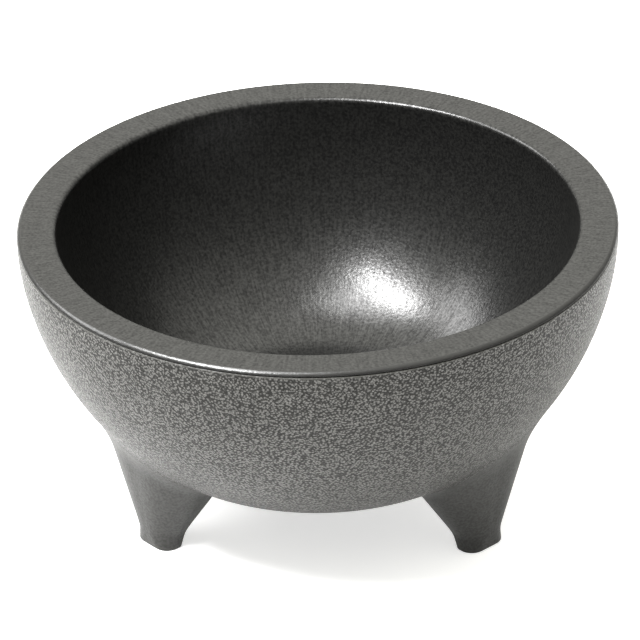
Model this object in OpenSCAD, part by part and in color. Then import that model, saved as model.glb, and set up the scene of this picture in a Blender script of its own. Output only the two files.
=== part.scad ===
// Molcajete: a wide salsa bowl on three flared feet, moulded in charcoal plastic.
// A smooth inner bowl with a flat rim sits in a grained outer shell, and the feet join the shell.
// Origin: on the table, under the middle of the bowl. +Z up, the rear foot towards +Y. Millimetres.

/* [Bowl] */
// Diameter across the rim
rim_d = 127; // [118:1:150]
// Height of the rim above the table
height = 67; // [62:0.5:80]
// Width of the rim, from its outer edge to the mouth
rim_w = 8.4; // [7.5:0.1:11]
// Gap between the table and the underside of the bowl
clearance = 14.7; // [10:0.1:16]
// Thickness of the inner bowl
liner_t = 3; // [2:0.5:4]
// Thickness of the floor, inner bowl and shell together
floor_t = 7; // [6:0.5:9]
// Diameter of the flat underside
base_d = 52; // [40:1:56]

/* [Edges] */
// Radius of the rolled outer edge of the rim
roll_r = 0.8; // [0.6:0.1:1.5]
// Radius of the edge at the mouth
mouth_r = 1.15; // [0.5:0.05:1.5]
// Height and depth of the groove between the inner bowl and the shell
groove = 0.3; // [0.2:0.05:0.5]
// Depth of the round recess in the underside
recess = 0.5; // [0.2:0.1:0.8]

/* [Feet] */
// Distance from the bowl's axis to a foot's outer face, at the table
foot_reach = 42.2; // [40:0.1:44]
// Thickness of a foot at the table, measured towards the bowl's axis
tip_t = 4.8; // [4.4:0.1:7]
// Width of a foot at the table, measured along the foot circle
tip_w = 10.6; // [9:0.1:12]
// Growth of a foot's half width per millimetre of height, above its straight tip
flare = 0.56; // [0.4:0.01:0.8]
// Height of the straight tip
tip_h = 3.4; // [1.5:0.1:5]
// Turn of each front foot about its own tip, towards the front
front_turn = 14; // [0:1:20]
// Size of the fillet where a foot runs into the shell
fillet = 1.2; // [0.8:0.1:2.5]

/* [Hidden] */
$fn = 128;
liner_color = [0.25, 0.25, 0.24];
shell_color = [0.34, 0.34, 0.33];
foot_color = [0.29, 0.29, 0.28];

rim_r = rim_d / 2;
mouth_rad = rim_r - rim_w;
base_r = base_d / 2;
recess_r = base_r - 3;
inner_flat_r = 0.85 * base_r;
floor_z = clearance + floor_t;
seat_z = height - roll_r - groove / 2;
curve_steps = 32;

// The foot: its rings of points, one above the other
foot_top_z = clearance + 20;
ring_step = 1.25;
arc_steps = 5;
face_steps = 6;
tip_round = 0.4;
tip_bend = 1;
inner_draft = 0.36;
outer_draft = 0.17;
outer_corner_r = 3.1;
outer_corner_growth = 0.48;
inner_corner_r = 0.9;
foot_half_w_max = 25;
pivot_r = foot_reach - tip_t / 2;

// A point at u, from 0 to 1, on the cubic curve with control points p
function curve_point(p, u) =
    pow(1 - u, 3) * p[0] + 3 * u * pow(1 - u, 2) * p[1] + 3 * u * u * (1 - u) * p[2] + pow(u, 3) * p[3];

function curve(p) = [for (i = [0:curve_steps]) curve_point(p, i / curve_steps)];

function reversed(points) = [for (i = [len(points) - 1:-1:0]) points[i]];

// Half outline of a bowl-shaped surface, from its edge down to its flat floor
function bowl_curve(edge_r, edge_z, flat_r, flat_z) = curve([
    [edge_r, edge_z],
    [edge_r, edge_z - 0.414 * (edge_z - flat_z)],
    [0.72 * edge_r, flat_z],
    [flat_r, flat_z]]);

outer_wall = bowl_curve(rim_r, seat_z - groove / 2, base_r, clearance);
liner_back = bowl_curve(mouth_rad + liner_t, seat_z, inner_flat_r, floor_z - liner_t);
inner_face = bowl_curve(mouth_rad, height - mouth_r, inner_flat_r, floor_z);

// Quarter arc from angle a to angle b, as points
function arc(center, r, a, b, steps = 8) =
    [for (i = [0:steps]) center + r * [cos(a + (b - a) * i / steps), sin(a + (b - a) * i / steps)]];

// The smooth bowl with its flat rim and rolled edge
module inner_bowl() {
    rim_outline = concat(
        reversed(inner_face),
        arc([mouth_rad + mouth_r, height - mouth_r], mouth_r, 170, 90, 6),
        arc([rim_r - roll_r, height - roll_r], roll_r, 90, 0),
        [[rim_r - groove, seat_z]]);
    color(liner_color)
        rotate_extrude()
            polygon(concat([[0, floor_z]], rim_outline, liner_back, [[0, floor_z - liner_t]]));
}

// The grained shell around and under the inner bowl
module outer_shell() {
    color(shell_color)
        difference() {
            rotate_extrude()
                polygon(concat(
                    [[0, floor_z - liner_t]],
                    reversed(liner_back),
                    [[rim_r - groove, seat_z]],
                    outer_wall,
                    [[0, clearance]]));
            translate([0, 0, clearance - 1])
                cylinder(r = recess_r, h = 1 + recess);
        }
}

// The space that the bowl takes up, which the feet stop at
module bowl_envelope() {
    rotate_extrude()
        polygon(concat([[0, height - 5]], [[rim_r - groove, height - 5]], outer_wall, [[0, clearance]]));
}

// Radius of the shell's outer face at height z
function shell_radius(z) = lookup(z, [for (p = outer_wall) [p[1], p[0]]]);

// A smooth step up from nothing: near 0 below the bend at the top of the tip, then rising with z
function rise(z) = (sqrt(pow(z - tip_h, 2) + tip_bend * tip_bend) + z - tip_h) / 2;

// Half width of a foot at height z: straight at the tip, then flaring up to the shell
function foot_half_w(z) = min(foot_half_w_max, tip_w / 2 + flare * (rise(z) - rise(0)));

// A point of a foot's section, turned about the middle of the tip
function turned(p, turn) = [
    pivot_r + cos(turn) * (p[0] - pivot_r) - sin(turn) * p[1],
    sin(turn) * (p[0] - pivot_r) + cos(turn) * p[1]];

// How far the fillet stands out, on a foot's point at radius r and height z. It is
// widest on the outer face, where a is 0, and gone on the sides.
function fillet_growth(r, z, a) =
    let (gap = max(0, min(1, (r - shell_radius(z)) / (2 * fillet))))
    z < clearance ? 0 : fillet * pow(1 - gap, 2.5) * max(0, cos(a));

// One point of a ring: on the line between two corner centres, pushed out along angle a
function ring_point(z, corner, r, a, turn) =
    let (p = turned(corner + r * [cos(a), sin(a)], turn))
    let (q = p + fillet_growth(norm(p), z, a) * [cos(a + turn), sin(a + turn)])
    [q[0], q[1], z];

// One ring of a foot at height z, drawn inset by the rounding of the tip's edge
function foot_ring(z, inset, turn) =
    let (out_x = foot_reach + outer_draft * z - inset)
    let (in_x = foot_reach - tip_t - inner_draft * z + inset)
    let (half_w = foot_half_w(z) - inset)
    let (r_wanted = outer_corner_r + outer_corner_growth * z)
    let (r_out = min(r_wanted, half_w * 0.94, out_x - in_x - inner_corner_r))
    let (radii = [r_out, inner_corner_r, inner_corner_r, r_out])
    let (corners = [
        [out_x - r_out, half_w - r_out],
        [in_x + inner_corner_r, half_w - inner_corner_r],
        [in_x + inner_corner_r, inner_corner_r - half_w],
        [out_x - r_out, r_out - half_w]])
    [for (k = [0:3])
        let (next = (k + 1) % 4, face_a = 90 * (k + 1))
        each concat(
            [for (i = [0:arc_steps]) ring_point(z, corners[k], radii[k], 90 * (k + i / arc_steps), turn)],
            [for (i = [1:face_steps - 1])
                let (u = i / face_steps, corner = corners[k] * (1 - u) + corners[next] * u)
                ring_point(z, corner, radii[k] * (1 - u) + radii[next] * u, face_a, turn)])];

function average(points) = [for (p = points) 1] * points / len(points);

// A solid through a stack of rings that all have the same number of points,
// closed by a fan of triangles at each end
module loft(rings) {
    n = len(rings[0]);
    last = (len(rings) - 1) * n;
    low_center = last + n;
    high_center = low_center + 1;
    points = concat([for (ring = rings) each ring], [average(rings[0]), average(rings[len(rings) - 1])]);
    sides = [for (j = [0:n:last - n], i = [0:n - 1])
        let (a = j + i, b = j + (i + 1) % n)
        each [[a, a + n, b], [b, a + n, b + n]]];
    ends = [for (i = [0:n - 1])
        let (next = (i + 1) % n)
        each [[low_center, i, next], [high_center, last + next, last + i]]];
    polyhedron(points = points, faces = concat(sides, ends));
}

// One foot, standing out in the direction of azimuth and turned about its own tip
module foot(azimuth, turn) {
    rings = concat(
        [foot_ring(0, tip_round, turn), foot_ring(tip_round / 3, tip_round / 3, turn)],
        [foot_ring(tip_round, 0, turn)],
        [for (z = [ring_step:ring_step:foot_top_z]) foot_ring(z, 0, turn)]);
    color(foot_color)
        rotate([0, 0, azimuth])
            difference() {
                loft(rings);
                bowl_envelope();
            }
}

inner_bowl();
outer_shell();
foot(210, front_turn);  // front_left_foot
foot(330, -front_turn);  // front_right_foot
foot(90, 0);  // rear_foot
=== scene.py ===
"""Moulded plastic molcajete bowl: the looks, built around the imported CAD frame. Metres, +Z up."""

import math

import bpy
import numpy as np
from mathutils import Matrix, Vector


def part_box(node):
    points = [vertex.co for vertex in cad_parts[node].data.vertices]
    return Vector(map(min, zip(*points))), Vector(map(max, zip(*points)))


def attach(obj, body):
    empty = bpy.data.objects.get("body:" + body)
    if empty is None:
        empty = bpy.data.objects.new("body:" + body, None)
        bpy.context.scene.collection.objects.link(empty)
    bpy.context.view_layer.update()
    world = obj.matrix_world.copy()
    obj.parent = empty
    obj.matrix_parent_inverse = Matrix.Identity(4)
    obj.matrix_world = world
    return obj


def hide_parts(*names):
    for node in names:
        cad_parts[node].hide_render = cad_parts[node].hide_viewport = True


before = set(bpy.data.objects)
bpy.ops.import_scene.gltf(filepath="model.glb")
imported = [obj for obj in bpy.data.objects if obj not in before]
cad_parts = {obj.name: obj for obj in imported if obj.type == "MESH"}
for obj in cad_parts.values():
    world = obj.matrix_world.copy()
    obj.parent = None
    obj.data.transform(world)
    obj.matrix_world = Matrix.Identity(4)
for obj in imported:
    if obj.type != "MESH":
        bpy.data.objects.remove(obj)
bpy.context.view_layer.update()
MM = 0.001

# ---------------------------------------------------------------- sizes, as the CAD part has them
bowl_low, bowl_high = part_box("inner_bowl")
shell_low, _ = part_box("outer_shell")
RIM_R = bowl_high.x
HEIGHT = bowl_high.z
CLEARANCE = shell_low.z
BACK_FLOOR_Z = bowl_low.z
LINER_T = 3 * MM
FLOOR_Z = BACK_FLOOR_Z + LINER_T
RIM_W = 8.4 * MM
ROLL_R = 0.8 * MM
MOUTH_R = 1.15 * MM
# The groove at the parting line, and how far in the visual groove reaches past it
GROOVE = 0.3 * MM
GROOVE_REACH = 0.4 * MM
MOUTH_EDGE_R = RIM_R - RIM_W
BASE_R = 26 * MM
INNER_FLAT_R = 0.85 * BASE_R
RECESS_R = BASE_R - 3 * MM
RECESS = 0.5 * MM
RECESS_EDGE_R = 0.3 * MM
RECESS_EDGE_GAP = 0.5 * MM
SEAT_Z = HEIGHT - ROLL_R - GROOVE / 2
# The round on the shell's top edge
LEDGE_R = 0.25 * MM
# The handles of a bowl curve: how far the upper one drops, and how far out the lower one reaches
CURVE_DROP = 0.414
CURVE_REACH = 0.72
# The rim's rolled edge as arcs, from the flat top down: start angle, end angle, radius, steps
ROLL_ARCS = ((90, 62, 0.5 * MM, 5), (62, 31, 1.7 * MM, 9), (31, 0, 0.15 * MM, 3))

FOOT_REACH = 42.2 * MM
TIP_T = 4.8 * MM
TIP_W = 10.6 * MM
TIP_H = 3.4 * MM
TIP_BEND = 1 * MM
FLARE = 0.56
INNER_DRAFT = 0.36
OUTER_DRAFT = 0.17
OUTER_CORNER_R = 3.1 * MM
OUTER_CORNER_GROWTH = 0.48
OUTER_CORNER_MAX = 0.94
INNER_CORNER_R = 0.9 * MM
FOOT_HALF_W_MAX = 25 * MM
PIVOT_R = FOOT_REACH - TIP_T / 2
FRONT_TURN = 14
TIP_ROUND = 0.4 * MM
# The fillet where a foot runs into the shell: on the outer face, on the inner face, and how it changes
BLEND = 3.2 * MM
BLEND_MIN = 2.4 * MM
BLEND_FADE = 1.5
# A foot's thin skirt over the shell: its width, how far it stands off, and where its last row tucks in
SKIRT = 4.5 * MM
SKIRT_LIFT = 0.015 * MM
SKIRT_TUCK = -0.12 * MM
# How far from the shell the wall's grain has faded out on a foot
GRAIN_FADE = 1.1 * MM
# No foot meets the shell higher than this above the underside
CREASE_MAX = 25 * MM
# The azimuth of each foot, and its turn about its own tip: the front pair turn towards the front
FEET = {"front_left_foot": (210, FRONT_TURN), "front_right_foot": (330, -FRONT_TURN), "rear_foot": (90, 0)}

# How finely the pieces are drawn: points round a turned piece; steps round a corner of a foot, along
# a face, up the side and over the skirt; and the rows of its flat tip and of the tip's rounded edge
SEGMENTS = 384
CORNER_STEPS, FACE_STEPS = 12, 20
SIDE_STEPS, SKIRT_STEPS = 44, 18
TIP_SHARES = (0.25, 0.5, 0.75, 0.92)
TIP_ROUND_STEPS = 6
SHARP_ANGLE = math.radians(40)
BISECTIONS = 40
SETTLE_PASSES = 8
SLOPE_STEP = 0.02 * MM


# ---------------------------------------------------------------- outlines
def cubic(p, steps):
    """Points on the cubic curve with control points p."""
    u = np.linspace(0, 1, steps + 1)[:, None]
    p = np.asarray(p, float)
    return (1 - u) ** 3 * p[0] + 3 * u * (1 - u) ** 2 * p[1] + 3 * u * u * (1 - u) * p[2] + u**3 * p[3]


def bowl_curve(edge_r, edge_z, flat_r, flat_z, steps=64):
    """Half outline of a bowl-shaped surface, from its edge down to its flat floor."""
    return cubic(
        [
            (edge_r, edge_z),
            (edge_r, edge_z - CURVE_DROP * (edge_z - flat_z)),
            (CURVE_REACH * edge_r, flat_z),
            (flat_r, flat_z),
        ],
        steps,
    )


def arc(center, r, start, end, steps):
    """Points on a circle from the angle start to the angle end, in degrees."""
    a = np.radians(np.linspace(start, end, steps + 1))
    return np.column_stack([center[0] + r * np.cos(a), center[1] + r * np.sin(a)])


def line(a, b, steps):
    """Points from a to b, both left out."""
    u = np.linspace(0, 1, steps + 1)[1:-1, None]
    return (1 - u) * np.asarray(a, float) + u * np.asarray(b, float)


outer_wall = bowl_curve(RIM_R, SEAT_Z - GROOVE / 2, BASE_R, CLEARANCE, 96)
liner_back = bowl_curve(MOUTH_EDGE_R + LINER_T, SEAT_Z, INNER_FLAT_R, BACK_FLOOR_Z)
inner_face = bowl_curve(MOUTH_EDGE_R, HEIGHT - MOUTH_R, INNER_FLAT_R, FLOOR_Z, 96)


# ---------------------------------------------------------------- meshes
def make_object(name, verts, faces):
    mesh = bpy.data.meshes.new(name)
    mesh.from_pydata(verts, [], faces)
    mesh.validate()
    mesh.shade_smooth()
    mesh.set_sharp_from_angle(angle=SHARP_ANGLE)
    made = bpy.data.objects.new(name, mesh)
    bpy.context.scene.collection.objects.link(made)
    return made


def lathe(name, outline):
    """A closed solid of revolution. The outline runs from the axis round to the axis again,
    with its first and last points on the axis."""
    a = np.linspace(0, 2 * math.pi, SEGMENTS, endpoint=False)
    rings = np.asarray(outline)[1:-1]
    x = rings[:, :1] * np.cos(a)
    y = rings[:, :1] * np.sin(a)
    z = np.repeat(rings[:, 1:], SEGMENTS, axis=1)
    verts = np.stack([x, y, z], -1).reshape(-1, 3).tolist()
    first, last = len(verts), len(verts) + 1
    verts += [[0, 0, outline[0][1]], [0, 0, outline[-1][1]]]
    faces = []
    top = (len(rings) - 1) * SEGMENTS
    for i in range(SEGMENTS):
        j = (i + 1) % SEGMENTS
        faces.append((first, i, j))
        faces.append((last, top + j, top + i))
        for row in range(0, top, SEGMENTS):
            faces.append((row + i, row + SEGMENTS + i, row + SEGMENTS + j, row + j))
    return make_object(name, verts, faces)


def rolled_edge():
    """The rim's outer edge, from the flat top down: a tight round, a flatter face and a tight round."""
    points = [np.zeros((1, 2))]
    for start, end, r, steps in ROLL_ARCS:
        bend = arc((0, 0), r, start, end, steps)
        points.append(points[-1][-1] + bend[1:] - bend[0])
    points = np.vstack(points)
    return points + (RIM_R - points[-1][0], HEIGHT)


def make_bowl():
    """The smooth liner with the flat rim and the rolled edge."""
    mouth = arc((MOUTH_EDGE_R + MOUTH_R, HEIGHT - MOUTH_R), MOUTH_R, 174, 90, 10)
    roll = rolled_edge()
    outline = np.vstack(
        [
            [(0, FLOOR_Z)],
            line((0, FLOOR_Z), inner_face[-1], 10),
            inner_face[::-1],
            mouth,
            line(mouth[-1], roll[0], 12),
            roll,
            [(RIM_R - GROOVE, SEAT_Z)],
            line((RIM_R - GROOVE, SEAT_Z), liner_back[0], 6),
            liner_back,
            [(0, BACK_FLOOR_Z)],
        ]
    )
    return lathe("bowl", outline)


def make_shell():
    """The grained shell, with a small round on its top edge and a round recess underneath."""
    ledge = arc((RIM_R - LEDGE_R, outer_wall[0][1] - LEDGE_R), LEDGE_R, 90, 0, 6)
    wall = outer_wall[outer_wall[:, 1] < outer_wall[0][1] - 1.2 * LEDGE_R]
    outline = np.vstack(
        [
            [(0, BACK_FLOOR_Z)],
            liner_back[::-1],
            line(liner_back[0], (RIM_R - GROOVE - GROOVE_REACH, SEAT_Z), 6),
            [(RIM_R - GROOVE - GROOVE_REACH / 2, SEAT_Z - GROOVE / 2)],
            ledge,
            wall,
            line(wall[-1], (RECESS_R + RECESS_EDGE_GAP, CLEARANCE), 4),
            arc((RECESS_R + RECESS_EDGE_R, CLEARANCE + RECESS_EDGE_R), RECESS_EDGE_R, 270, 180, 5),
            [(RECESS_R, CLEARANCE + RECESS)],
            line((RECESS_R, CLEARANCE + RECESS), (0, CLEARANCE + RECESS), 8),
            [(0, CLEARANCE + RECESS)],
        ]
    )
    return lathe("shell", outline)


# ---------------------------------------------------------------- feet
def rise(z):
    """A smooth step up from nothing: near 0 below the bend at the top of the tip, then rising with z."""
    return (np.sqrt((z - TIP_H) ** 2 + TIP_BEND**2) + z - TIP_H) / 2


def foot_half_w(z):
    """Half width of a foot at height z: straight at the tip, then flaring up to the shell."""
    return np.minimum(FOOT_HALF_W_MAX, TIP_W / 2 + FLARE * (rise(z) - rise(0)))


def foot_section(z):
    """Inner face, outer face, half width and outer corner radius at height z."""
    half_w = foot_half_w(z)
    low, high = FOOT_REACH - TIP_T - INNER_DRAFT * z, FOOT_REACH + OUTER_DRAFT * z
    corner = np.minimum(OUTER_CORNER_R + OUTER_CORNER_GROWTH * z, OUTER_CORNER_MAX * half_w)
    return low, high, half_w, np.minimum(corner, high - low - INNER_CORNER_R)


def turn_about_tip(x, y, turn):
    c, s = math.cos(math.radians(turn)), math.sin(math.radians(turn))
    return PIVOT_R + c * (x - PIVOT_R) - s * y, s * (x - PIVOT_R) + c * y


def distance_to_foot(p, turn):
    """Distance from the points p to the side of the foot. X is outwards from the bowl's axis."""
    low, high, half_w, corner = foot_section(np.maximum(p[:, 2], 0))
    x, y = turn_about_tip(p[:, 0], p[:, 1], -turn)
    distance = np.maximum(np.maximum(x - high, low - x), np.abs(y) - half_w)
    for past_corner, r in ((x - high + corner, corner), (low + INNER_CORNER_R - x, INNER_CORNER_R)):
        past_side = np.abs(y) - half_w + r
        in_corner = (past_corner > 0) & (past_side > 0)
        distance = np.where(in_corner, np.hypot(past_corner, past_side) - r, distance)
    return distance


def distance_to_bowl(p):
    """Distance from the points p to the outer wall, less than 0 inside it."""
    q = np.column_stack([np.hypot(p[:, 0], p[:, 1]), p[:, 2]])
    line_points = np.vstack([outer_wall, [(0, CLEARANCE)]])
    best = np.full(len(q), np.inf)
    side = np.zeros(len(q))
    for start, end in zip(line_points[:-1], line_points[1:]):
        along = end - start
        u = np.clip((q - start) @ along / (along @ along), 0, 1)
        gap = q - start - u[:, None] * along
        d = np.hypot(gap[:, 0], gap[:, 1])
        closer = d < best
        cross = along[0] * gap[:, 1] - along[1] * gap[:, 0]
        best = np.where(closer, d, best)
        side = np.where(closer, np.sign(cross), side)
    return best * side


def blended_distance(p, turn):
    """Distance to the foot and the bowl together, with a fillet where they meet. The fillet
    is widest on the outer face and fades out towards the inner face."""
    a, b = distance_to_foot(p, turn), distance_to_bowl(p)
    low, high, _, _ = foot_section(np.maximum(p[:, 2], 0))
    x, _ = turn_about_tip(p[:, 0], p[:, 1], -turn)
    share = np.clip((x - low) / (high - low), 0, 1)
    blend = BLEND_MIN + (BLEND - BLEND_MIN) * share**BLEND_FADE
    h = np.maximum(blend - np.abs(a - b), 0) / blend
    return np.minimum(a, b) - h * h * blend / 4


def gradient(distance, p):
    """Slope of the function distance at the points p."""
    steps = SLOPE_STEP * np.eye(3)
    return np.column_stack([(distance(p + step) - distance(p - step)) / (2 * SLOPE_STEP) for step in steps])


def bowl_height(r):
    """Height of the outer wall at radius r, under the bowl."""
    return np.interp(r, outer_wall[::-1, 0], outer_wall[::-1, 1], left=CLEARANCE)


def foot_outline(z, around, turn):
    """The foot's outline at each of the heights z, as (x, y) points, and its outward directions.
    around has (corner, angle, share) for each point: share runs from this corner to the next."""
    low, high, half_w, corner = foot_section(z)
    inner = np.full_like(z, INNER_CORNER_R)
    radii = [corner, inner, inner, corner]
    centers = [
        (high - corner, half_w - corner),
        (low + inner, half_w - inner),
        (low + inner, inner - half_w),
        (high - corner, corner - half_w),
    ]
    points, ways = [], []
    for k, angle, share in around:
        n = (k + 1) % 4
        way = np.array([math.cos(math.radians(angle)), math.sin(math.radians(angle))])
        r = radii[k] * (1 - share) + radii[n] * share
        cx = centers[k][0] * (1 - share) + centers[n][0] * share
        cy = centers[k][1] * (1 - share) + centers[n][1] * share
        points.append(np.column_stack(turn_about_tip(cx + r * way[0], cy + r * way[1], turn)))
        ways.append([math.cos(math.radians(angle + turn)), math.sin(math.radians(angle + turn))])
    return np.array(points), np.array(ways)


def outline_at(z, around, turn):
    """The foot's outline with a height of its own for each point, as (x, y) points."""
    return np.array([foot_outline(np.array([h]), [at], turn)[0][0, 0] for h, at in zip(z, around)])


def foot_around():
    """Where each point of a ring lies: round each corner and then along the face after it."""
    around = []
    for k in range(4):
        around += [(k, 90 * (k + i / CORNER_STEPS), 0) for i in range(CORNER_STEPS)]
        around += [(k, 90 * (k + 1), i / FACE_STEPS) for i in range(FACE_STEPS)]
    return around


def crease_heights(around, turn):
    """The height at which each line up the foot's side meets the shell, found by halving."""
    low, high = np.full(len(around), TIP_ROUND), np.full(len(around), CLEARANCE + CREASE_MAX)
    for _ in range(BISECTIONS):
        middle = (low + high) / 2
        inside = distance_to_bowl(np.column_stack([outline_at(middle, around, turn), middle])) < 0
        low, high = np.where(inside, low, middle), np.where(inside, middle, high)
    return low


def foot_rows(around, turn):
    """Rows of points from the middle of the tip, up the side to the shell, and out over the shell."""
    count = len(around)
    tip, ways = foot_outline(np.zeros(1), around, turn)
    tip_center = np.array([PIVOT_R, 0])
    rows = []
    for share in TIP_SHARES:
        flat = tip_center + (tip[:, 0] - TIP_ROUND * ways - tip_center) * share
        rows.append(np.column_stack([flat, np.zeros(count)]))
    for bend in np.radians(np.linspace(0, 90, TIP_ROUND_STEPS + 1)):
        z = TIP_ROUND * (1 - math.cos(bend))
        ring, _ = foot_outline(np.array([z]), around, turn)
        ring = ring[:, 0] - TIP_ROUND * (1 - math.sin(bend)) * ways
        rows.append(np.column_stack([ring, np.full(count, z)]))
    crease = crease_heights(around, turn)
    for step in range(1, SIDE_STEPS + 1):
        z = TIP_ROUND + (crease - TIP_ROUND) * step / SIDE_STEPS
        rows.append(np.column_stack([outline_at(z, around, turn), z]))
    top = rows[-1]
    for step in range(1, SKIRT_STEPS + 1):
        out = top[:, :2] + ways * SKIRT * step / SKIRT_STEPS
        rows.append(np.column_stack([out, bowl_height(np.hypot(out[:, 0], out[:, 1]))]))
    return rows


def add_fillet(points, count, turn):
    """Move the points onto the foot and bowl blended together, and lift the skirt off the shell."""
    for _ in range(SETTLE_PASSES):
        slope = gradient(lambda p: blended_distance(p, turn), points)
        points -= (blended_distance(points, turn) / (slope * slope).sum(1))[:, None] * slope
    away = distance_to_bowl(points)
    lift = np.full(len(points), SKIRT_LIFT)
    lift[-count:] = SKIRT_TUCK
    skirt = len(points) - SKIRT_STEPS * count
    points[skirt:] += gradient(distance_to_bowl, points)[skirt:] * lift[skirt:, None]
    return points, away


def make_foot(name, azimuth, turn):
    """One foot, with the share of the wall's grain kept in each point as the attribute grain."""
    around = foot_around()
    count = len(around)
    rows = foot_rows(around, turn)
    first_blended = len(rows) - SKIRT_STEPS - SIDE_STEPS + SIDE_STEPS // 4
    blended, away = add_fillet(np.concatenate(rows[first_blended:]), count, turn)
    points = np.concatenate([np.concatenate(rows[:first_blended]), blended])
    grain = np.concatenate([np.zeros(first_blended * count), 1 - np.clip(away / GRAIN_FADE, 0, 1)])

    placed = Matrix.Rotation(math.radians(azimuth), 4, "Z")
    verts = [tuple(placed @ Vector(p)) for p in points]
    center = len(verts)
    verts.append(tuple(placed @ Vector((PIVOT_R, 0, 0))))
    faces = [(center, (i + 1) % count, i) for i in range(count)]
    for row in range(0, center - count, count):
        for i in range(count):
            j = (i + 1) % count
            faces.append((row + i, row + j, row + count + j, row + count + i))
    foot = make_object(name, verts, faces)
    attribute = foot.data.attributes.new("grain", "FLOAT", "POINT")
    attribute.data.foreach_set("value", np.append(grain, 0.0).astype(np.float32))
    return foot


# ---------------------------------------------------------------- materials
class Nodes:
    """Short calls for building one node material."""

    def __init__(self, name):
        self.material = bpy.data.materials.new(name)
        self.material.use_nodes = True
        self.tree = self.material.node_tree
        self.shader = self.tree.nodes["Principled BSDF"]
        self.place = self.add("ShaderNodeTexCoord").outputs["Object"]

    def add(self, kind, **settings):
        node = self.tree.nodes.new(kind)
        for key, value in settings.items():
            setattr(node, key, value)
        return node

    def link(self, source, target):
        self.tree.links.new(source, target)

    def feed(self, socket, value):
        if isinstance(value, (int, float, tuple, list)):
            socket.default_value = value
        else:
            self.link(value, socket)

    def math(self, operation, *values):
        node = self.add("ShaderNodeMath", operation=operation)
        for socket, value in zip(node.inputs, values):
            self.feed(socket, value)
        return node.outputs[0]

    def noise(self, scale, detail=2.0, vector=None):
        node = self.add("ShaderNodeTexNoise")
        self.link(vector or self.place, node.inputs["Vector"])
        node.inputs["Scale"].default_value = scale
        node.inputs["Detail"].default_value = detail
        return node.outputs["Fac"]

    def cells(self, scale, randomness):
        """Distance to the nearest cell's centre, and a random number of that cell. The grid that the
        cells sit on is tilted, so that its flat layers meet the wall only at the feet."""
        tilt = self.add("ShaderNodeMapping")
        self.link(self.place, tilt.inputs["Vector"])
        tilt.inputs["Rotation"].default_value = (math.atan(0.5**0.5), math.radians(225), 0)
        node = self.add("ShaderNodeTexVoronoi")
        self.link(tilt.outputs[0], node.inputs["Vector"])
        node.inputs["Scale"].default_value = scale
        node.inputs["Randomness"].default_value = randomness
        parts = self.add("ShaderNodeSeparateColor")
        self.link(node.outputs["Color"], parts.inputs[0])
        return node.outputs["Distance"], parts.outputs[0]

    def ramp(self, value, low, high, out_low=0.0, out_high=1.0):
        """out_low where value is low or less, out_high where it is high or more, smooth between."""
        node = self.add("ShaderNodeMapRange", interpolation_type="SMOOTHSTEP")
        self.link(value, node.inputs["Value"])
        for key, number in (("From Min", low), ("From Max", high), ("To Min", out_low), ("To Max", out_high)):
            node.inputs[key].default_value = number
        return node.outputs["Result"]

    def mix(self, share, a, b):
        node = self.add("ShaderNodeMix", data_type="RGBA")
        self.feed(node.inputs["Factor"], share)
        self.feed(node.inputs["A"], (*a, 1) if isinstance(a, tuple) else a)
        self.feed(node.inputs["B"], (*b, 1) if isinstance(b, tuple) else b)
        return node.outputs["Result"]

    def blend(self, share, a, b):
        node = self.add("ShaderNodeMix", data_type="FLOAT")
        for key, value in (("Factor", share), ("A", a), ("B", b)):
            self.feed(node.inputs[key], value)
        return node.outputs["Result"]

    def bump(self, height, distance, strength=1.0, normal=None):
        node = self.add("ShaderNodeBump")
        self.link(height, node.inputs["Height"])
        node.inputs["Distance"].default_value = distance
        self.feed(node.inputs["Strength"], strength)
        if normal is not None:
            self.link(normal, node.inputs["Normal"])
        return node.outputs["Normal"]

    def height_z(self):
        node = self.add("ShaderNodeSeparateXYZ")
        self.link(self.place, node.inputs[0])
        return node.outputs["Z"]


# Mould grain of the outer wall: cells per metre and their randomness, the distances from a cell's
# centre between which its dome falls, and the share of the domes and of the fine noise in the height
CELL_SCALE, CELL_RANDOMNESS = 1850, 0.85
DOME_FALL = (0.2, 0.68)
DOME_SHARE, UNEVEN_SHARE = 0.75, 0.25
UNEVEN_SCALE = 2900
# Specular level as (low height, high height, level there, level there), then the factor that a cell's
# random number gives, as (spread, least). The same share mixes the colour, so it also paints shade into
# the pits and a painted highlight onto the bumps' tops.
PEBBLE_SHINE_AND_SHADE = (0.1, 0.85, 0.12, 0.6)
PEBBLE_LUCK = (0.24, 0.78)
# Painted shade and painted highlight: the pits are coloured black and the bumps' tops lighter
PIT_SHADE_COLOUR = (0.0, 0.0, 0.0)
PEBBLE_TOP_LIT_COLOUR = (0.087, 0.085, 0.077)
GRAIN_DEPTH = 0.22 * MM
SHELL_ROUGHNESS = 0.45
# The plain top edge of the shell: where the grain ends and where it is quite gone, below the edge
LEDGE_FADE = (0.4 * MM, 0.2 * MM)
LEDGE_COLOUR = (0.05, 0.05, 0.046)

# Where noise is mapped to a range of values, this part of it is used
NOISE_LOW, NOISE_HIGH = 0.3, 0.7

# The feet: where the wall's grain fades in, by the attribute grain, and their own soft plastic
FOOT_GRAIN_FADE = (0.25, 0.95)
FOOT_SCALE = 1900
FOOT_DEPTH = 0.05 * MM
FOOT_COLOUR = (0.017, 0.017, 0.0155)
FOOT_SHINE = (0.2, 0.37)
FOOT_ROUGHNESS = 0.48

# The smooth bowl: fine grain, and streaks that change more slowly inwards than around
FINE_SCALE, STREAK_SCALE = 1700, 1500
STREAK_STRETCH = 0.15
FINE_SHARE, STREAK_SHARE = 0.8, 0.22
BOWL_DEPTH = 0.045 * MM
BOWL_DARK, BOWL_LIGHT = (0.004, 0.004, 0.004), (0.0095, 0.0095, 0.009)
FINE_SHINE, STREAK_SHINE = (0.22, 0.42), (0.0, 0.2)
BOWL_ROUGHNESS = 0.285

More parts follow.
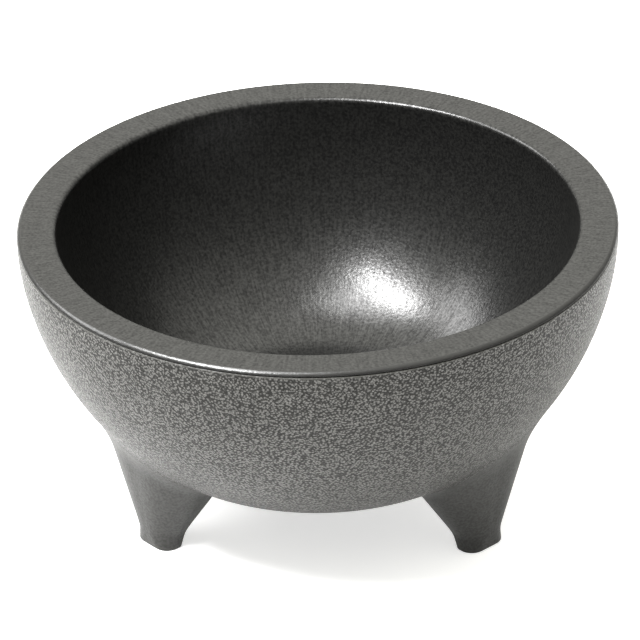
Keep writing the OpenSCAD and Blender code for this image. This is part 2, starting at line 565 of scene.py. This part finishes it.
# The rolled edge of the rim
ROLL_BUMP_SCALE, ROLL_COLOUR_SCALE = 1300, 600
ROLL_DEPTH = 0.05 * MM
ROLL_DARK, ROLL_LIGHT = (0.003, 0.003, 0.003), (0.008, 0.008, 0.0075)
ROLL_ROUGHNESS = 0.29


def pebbles(n):
    """The mould grain of the outer wall: small rounded bumps, some duller than others, with pits between
    them. Gives the height, the colour (painted shade in the pits and a painted highlight on the bumps'
    tops) and the specular level."""
    distance, luck = n.cells(CELL_SCALE, CELL_RANDOMNESS)
    domes = n.ramp(distance, *DOME_FALL, 1.0, 0.0)
    uneven = n.ramp(n.noise(UNEVEN_SCALE, 1), NOISE_LOW, NOISE_HIGH)
    height = n.math("ADD", n.math("MULTIPLY", domes, DOME_SHARE), n.math("MULTIPLY", uneven, UNEVEN_SHARE))
    factor = n.math("MULTIPLY_ADD", luck, *PEBBLE_LUCK)
    shine = n.math("MULTIPLY", n.ramp(height, *PEBBLE_SHINE_AND_SHADE), factor)
    # The colour follows the same share: painted shade in the pits, a painted highlight on the tops
    return height, n.mix(shine, PIT_SHADE_COLOUR, PEBBLE_TOP_LIT_COLOUR), shine


def shell_material():
    n = Nodes("grained_plastic_painted_shade")
    height, colour, shine = pebbles(n)
    edge_z = outer_wall[0][1]
    ledge = n.ramp(n.height_z(), edge_z - LEDGE_FADE[0], edge_z - LEDGE_FADE[1])
    n.link(n.bump(height, GRAIN_DEPTH, n.math("SUBTRACT", 1.0, ledge)), n.shader.inputs["Normal"])
    # The base colour carries the grain's painted shade in the pits and painted highlight on the tops; the
    # ledge is plain
    n.link(n.mix(ledge, colour, LEDGE_COLOUR), n.shader.inputs["Base Color"])
    n.link(shine, n.shader.inputs["Specular IOR Level"])
    n.shader.inputs["Roughness"].default_value = SHELL_ROUGHNESS
    return n.material


def foot_material():
    """Nearly plain plastic that takes on the wall's grain over the fillet, with the grain's painted shade in
    the pits and painted highlight on the tops.
    """
    n = Nodes("foot_plastic")
    grain = n.add("ShaderNodeAttribute", attribute_name="grain").outputs["Fac"]
    share = n.ramp(grain, *FOOT_GRAIN_FADE)
    height, grain_shaded_colour, shine = pebbles(n)
    soft = n.noise(FOOT_SCALE)
    normal = n.bump(soft, FOOT_DEPTH)
    n.link(n.bump(height, GRAIN_DEPTH, share, normal), n.shader.inputs["Normal"])
    # Over the fillet the colour turns to the wall's grain colour: painted shade in the pits, painted
    # highlight on the tops
    n.link(n.mix(share, FOOT_COLOUR, grain_shaded_colour), n.shader.inputs["Base Color"])
    satin = n.ramp(soft, NOISE_LOW, NOISE_HIGH, *FOOT_SHINE)
    n.link(n.blend(share, satin, shine), n.shader.inputs["Specular IOR Level"])
    n.shader.inputs["Roughness"].default_value = FOOT_ROUGHNESS
    return n.material


def streaks(n):
    """Noise drawn out along the lines that run inwards over the rim and down the bowl."""
    axes = n.add("ShaderNodeSeparateXYZ")
    n.link(n.place, axes.inputs[0])
    x, y, z = axes.outputs
    around = n.math("MULTIPLY", n.math("ARCTAN2", x, n.math("MULTIPLY", y, -1.0)), RIM_R)
    squares = n.math("ADD", n.math("MULTIPLY", x, x), n.math("MULTIPLY", y, y))
    inward = n.math("MULTIPLY", n.math("SQRT", squares), STREAK_STRETCH)
    drawn = n.add("ShaderNodeCombineXYZ")
    for socket, value in zip(drawn.inputs, (around, inward, n.math("MULTIPLY", z, STREAK_STRETCH))):
        n.link(value, socket)
    return n.noise(STREAK_SCALE, vector=drawn.outputs[0])


def bowl_material():
    """Satin plastic with a fine grain and faint streaks."""
    n = Nodes("smooth_plastic")
    drawn = streaks(n)
    fine = n.noise(FINE_SCALE)
    height = n.math("ADD", n.math("MULTIPLY", fine, FINE_SHARE), n.math("MULTIPLY", drawn, STREAK_SHARE))
    n.link(n.bump(height, BOWL_DEPTH), n.shader.inputs["Normal"])
    n.link(n.mix(n.ramp(fine, NOISE_LOW, NOISE_HIGH), BOWL_DARK, BOWL_LIGHT), n.shader.inputs["Base Color"])
    fine_shine = n.ramp(fine, NOISE_LOW, NOISE_HIGH, *FINE_SHINE)
    streak_shine = n.ramp(drawn, NOISE_LOW, NOISE_HIGH, *STREAK_SHINE)
    n.link(n.math("ADD", fine_shine, streak_shine), n.shader.inputs["Specular IOR Level"])
    n.shader.inputs["Roughness"].default_value = BOWL_ROUGHNESS
    return n.material


def roll_material():
    n = Nodes("roll_plastic")
    n.link(n.bump(n.noise(ROLL_BUMP_SCALE), ROLL_DEPTH), n.shader.inputs["Normal"])
    n.link(n.mix(n.noise(ROLL_COLOUR_SCALE), ROLL_DARK, ROLL_LIGHT), n.shader.inputs["Base Color"])
    n.shader.inputs["Roughness"].default_value = ROLL_ROUGHNESS
    return n.material


# ---------------------------------------------------------------- the pieces
def finish_piece(piece, node, slot, *materials):
    for material in materials:
        piece.data.materials.append(material)
    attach(piece, "root")
    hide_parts(node)


bowl = make_bowl()
finish_piece(bowl, "inner_bowl", "bowl_plastic", bowl_material(), roll_material())
# The faces of the rolled edge take the second material
roll_start = rolled_edge()[0][0]
for polygon in bowl.data.polygons:
    c = polygon.center
    if math.hypot(c.x, c.y) > roll_start and c.z > SEAT_Z:
        polygon.material_index = 1

shell = make_shell()
finish_piece(shell, "outer_shell", "shell_plastic", shell_material())

foot_plastic = foot_material()
for node, (azimuth, turn) in FEET.items():
    finish_piece(make_foot(node + "_skin", azimuth, turn), node, "foot_plastic", foot_plastic)


# ---------------------------------------------------------------- floor, light and camera
FLOOR_HALF = 6.0
FLOOR_EDGE_H = 0.25
FLOOR_GREY = 0.86
FLOOR_ROUGHNESS = 0.8
FLOOR_GLOW = 0.6
WHITE = (1, 1, 1, 1)

CAMERA_AZIMUTH = 3.6
CAMERA_ELEVATION = 29.04
CAMERA_ROLL = 1.46
CAMERA_DISTANCE = 25 * RIM_R
SENSOR = 36
LENS = 423.7
CLIP_NEAR, CLIP_FAR = 0.05, 50
AIM_HEIGHT = 43.2 * MM

# Soft lights: azimuth from the camera's, elevation, distance from the rim's middle, size and power
LIGHTS = {
    "key": (-61, 57.5, 1.3, (0.72, 0.15), 41),
    "upper": (-45, 73, 1.3, (0.5, 0.34), 8),
    "left": (-109, 36, 1.4, (0.75, 0.4), 11),
}

# Strength of the sky: a level, what each axis adds to it, and the least it falls to
SKY_LEVEL = -0.6
SKY_RIGHT = -0.15
SKY_BACK = 0.82
SKY_UP = 3.1
SKY_LEAST = 0.2
SKY_COLOUR = (1, 0.99, 0.92, 1)


def make_floor():
    """A pale floor, turned up a little at its far edges so that a low view shows no horizon."""
    mesh = bpy.data.meshes.new("floor")
    corners = ((-1, -1), (1, -1), (1, 1), (-1, 1))
    verts = [(x * FLOOR_HALF, y * FLOOR_HALF, z) for z in (0, FLOOR_EDGE_H) for x, y in corners]
    sides = [(i, i + 4, (i + 1) % 4 + 4, (i + 1) % 4) for i in range(4)]
    mesh.from_pydata(verts, [], [(0, 1, 2, 3)] + sides)
    floor = bpy.data.objects.new("floor", mesh)
    bpy.context.scene.collection.objects.link(floor)
    material = bpy.data.materials.new("pale_floor")
    material.use_nodes = True
    shader = material.node_tree.nodes["Principled BSDF"]
    shader.inputs["Base Color"].default_value = (FLOOR_GREY, FLOOR_GREY, FLOOR_GREY, 1)
    shader.inputs["Roughness"].default_value = FLOOR_ROUGHNESS
    shader.inputs["Emission Color"].default_value = WHITE
    shader.inputs["Emission Strength"].default_value = FLOOR_GLOW
    floor.data.materials.append(material)


def direction(azimuth, elevation):
    a, e = math.radians(azimuth), math.radians(elevation)
    return Vector((math.sin(a) * math.cos(e), -math.cos(a) * math.cos(e), math.sin(e)))


def make_light(name, azimuth, elevation, distance, size, power):
    light = bpy.data.lights.new(name, "AREA")
    light.shape = "RECTANGLE"
    light.size, light.size_y = size
    light.energy = power
    made = bpy.data.objects.new(name, light)
    bpy.context.scene.collection.objects.link(made)
    towards = direction(azimuth, elevation)
    made.location = Vector((0, 0, HEIGHT)) + towards * distance
    made.rotation_mode = "QUATERNION"
    made.rotation_quaternion = towards.to_track_quat("Z", "Y")
    made.visible_camera = False


def make_camera():
    """A long lens, high in front of the bowl and rolled a little."""
    data = bpy.data.cameras.new("camera")
    data.sensor_width = SENSOR
    data.lens = LENS
    data.clip_start, data.clip_end = CLIP_NEAR, CLIP_FAR
    camera = bpy.data.objects.new("camera", data)
    bpy.context.scene.collection.objects.link(camera)
    camera.location = Vector((0, 0, HEIGHT)) + direction(CAMERA_AZIMUTH, CAMERA_ELEVATION) * CAMERA_DISTANCE
    towards = Vector((0, 0, AIM_HEIGHT)) - camera.location
    camera.rotation_mode = "QUATERNION"
    level = towards.to_track_quat("-Z", "Y").to_matrix()
    camera.rotation_quaternion = (level @ Matrix.Rotation(math.radians(-CAMERA_ROLL), 3, "Z")).to_quaternion()
    bpy.context.scene.camera = camera


def make_world():
    """A pale studio dome: bright overhead and at the back, dim towards the camera and the right."""
    world = bpy.data.worlds.new("studio")
    world.use_nodes = True
    tree = world.node_tree
    place = tree.nodes.new("ShaderNodeTexCoord")
    axes = tree.nodes.new("ShaderNodeSeparateXYZ")
    tree.links.new(place.outputs["Generated"], axes.inputs[0])
    total = None
    for axis, gain in (("X", SKY_RIGHT), ("Y", SKY_BACK), ("Z", SKY_UP)):
        part = tree.nodes.new("ShaderNodeMath")
        part.operation = "MULTIPLY_ADD"
        tree.links.new(axes.outputs[axis], part.inputs[0])
        part.inputs[1].default_value = gain
        if total is None:
            part.inputs[2].default_value = SKY_LEVEL
        else:
            tree.links.new(total, part.inputs[2])
        total = part.outputs[0]
    least = tree.nodes.new("ShaderNodeMath")
    least.operation = "MAXIMUM"
    tree.links.new(total, least.inputs[0])
    least.inputs[1].default_value = SKY_LEAST
    background = tree.nodes["Background"]
    background.inputs["Color"].default_value = SKY_COLOUR
    tree.links.new(least.outputs[0], background.inputs["Strength"])
    bpy.context.scene.world = world


make_floor()
for name, (turn, *rest) in LIGHTS.items():
    make_light(name, CAMERA_AZIMUTH + turn, *rest)
make_camera()
make_world()
scene = bpy.context.scene
scene.view_settings.view_transform = "Standard"
scene.view_settings.look = "None"
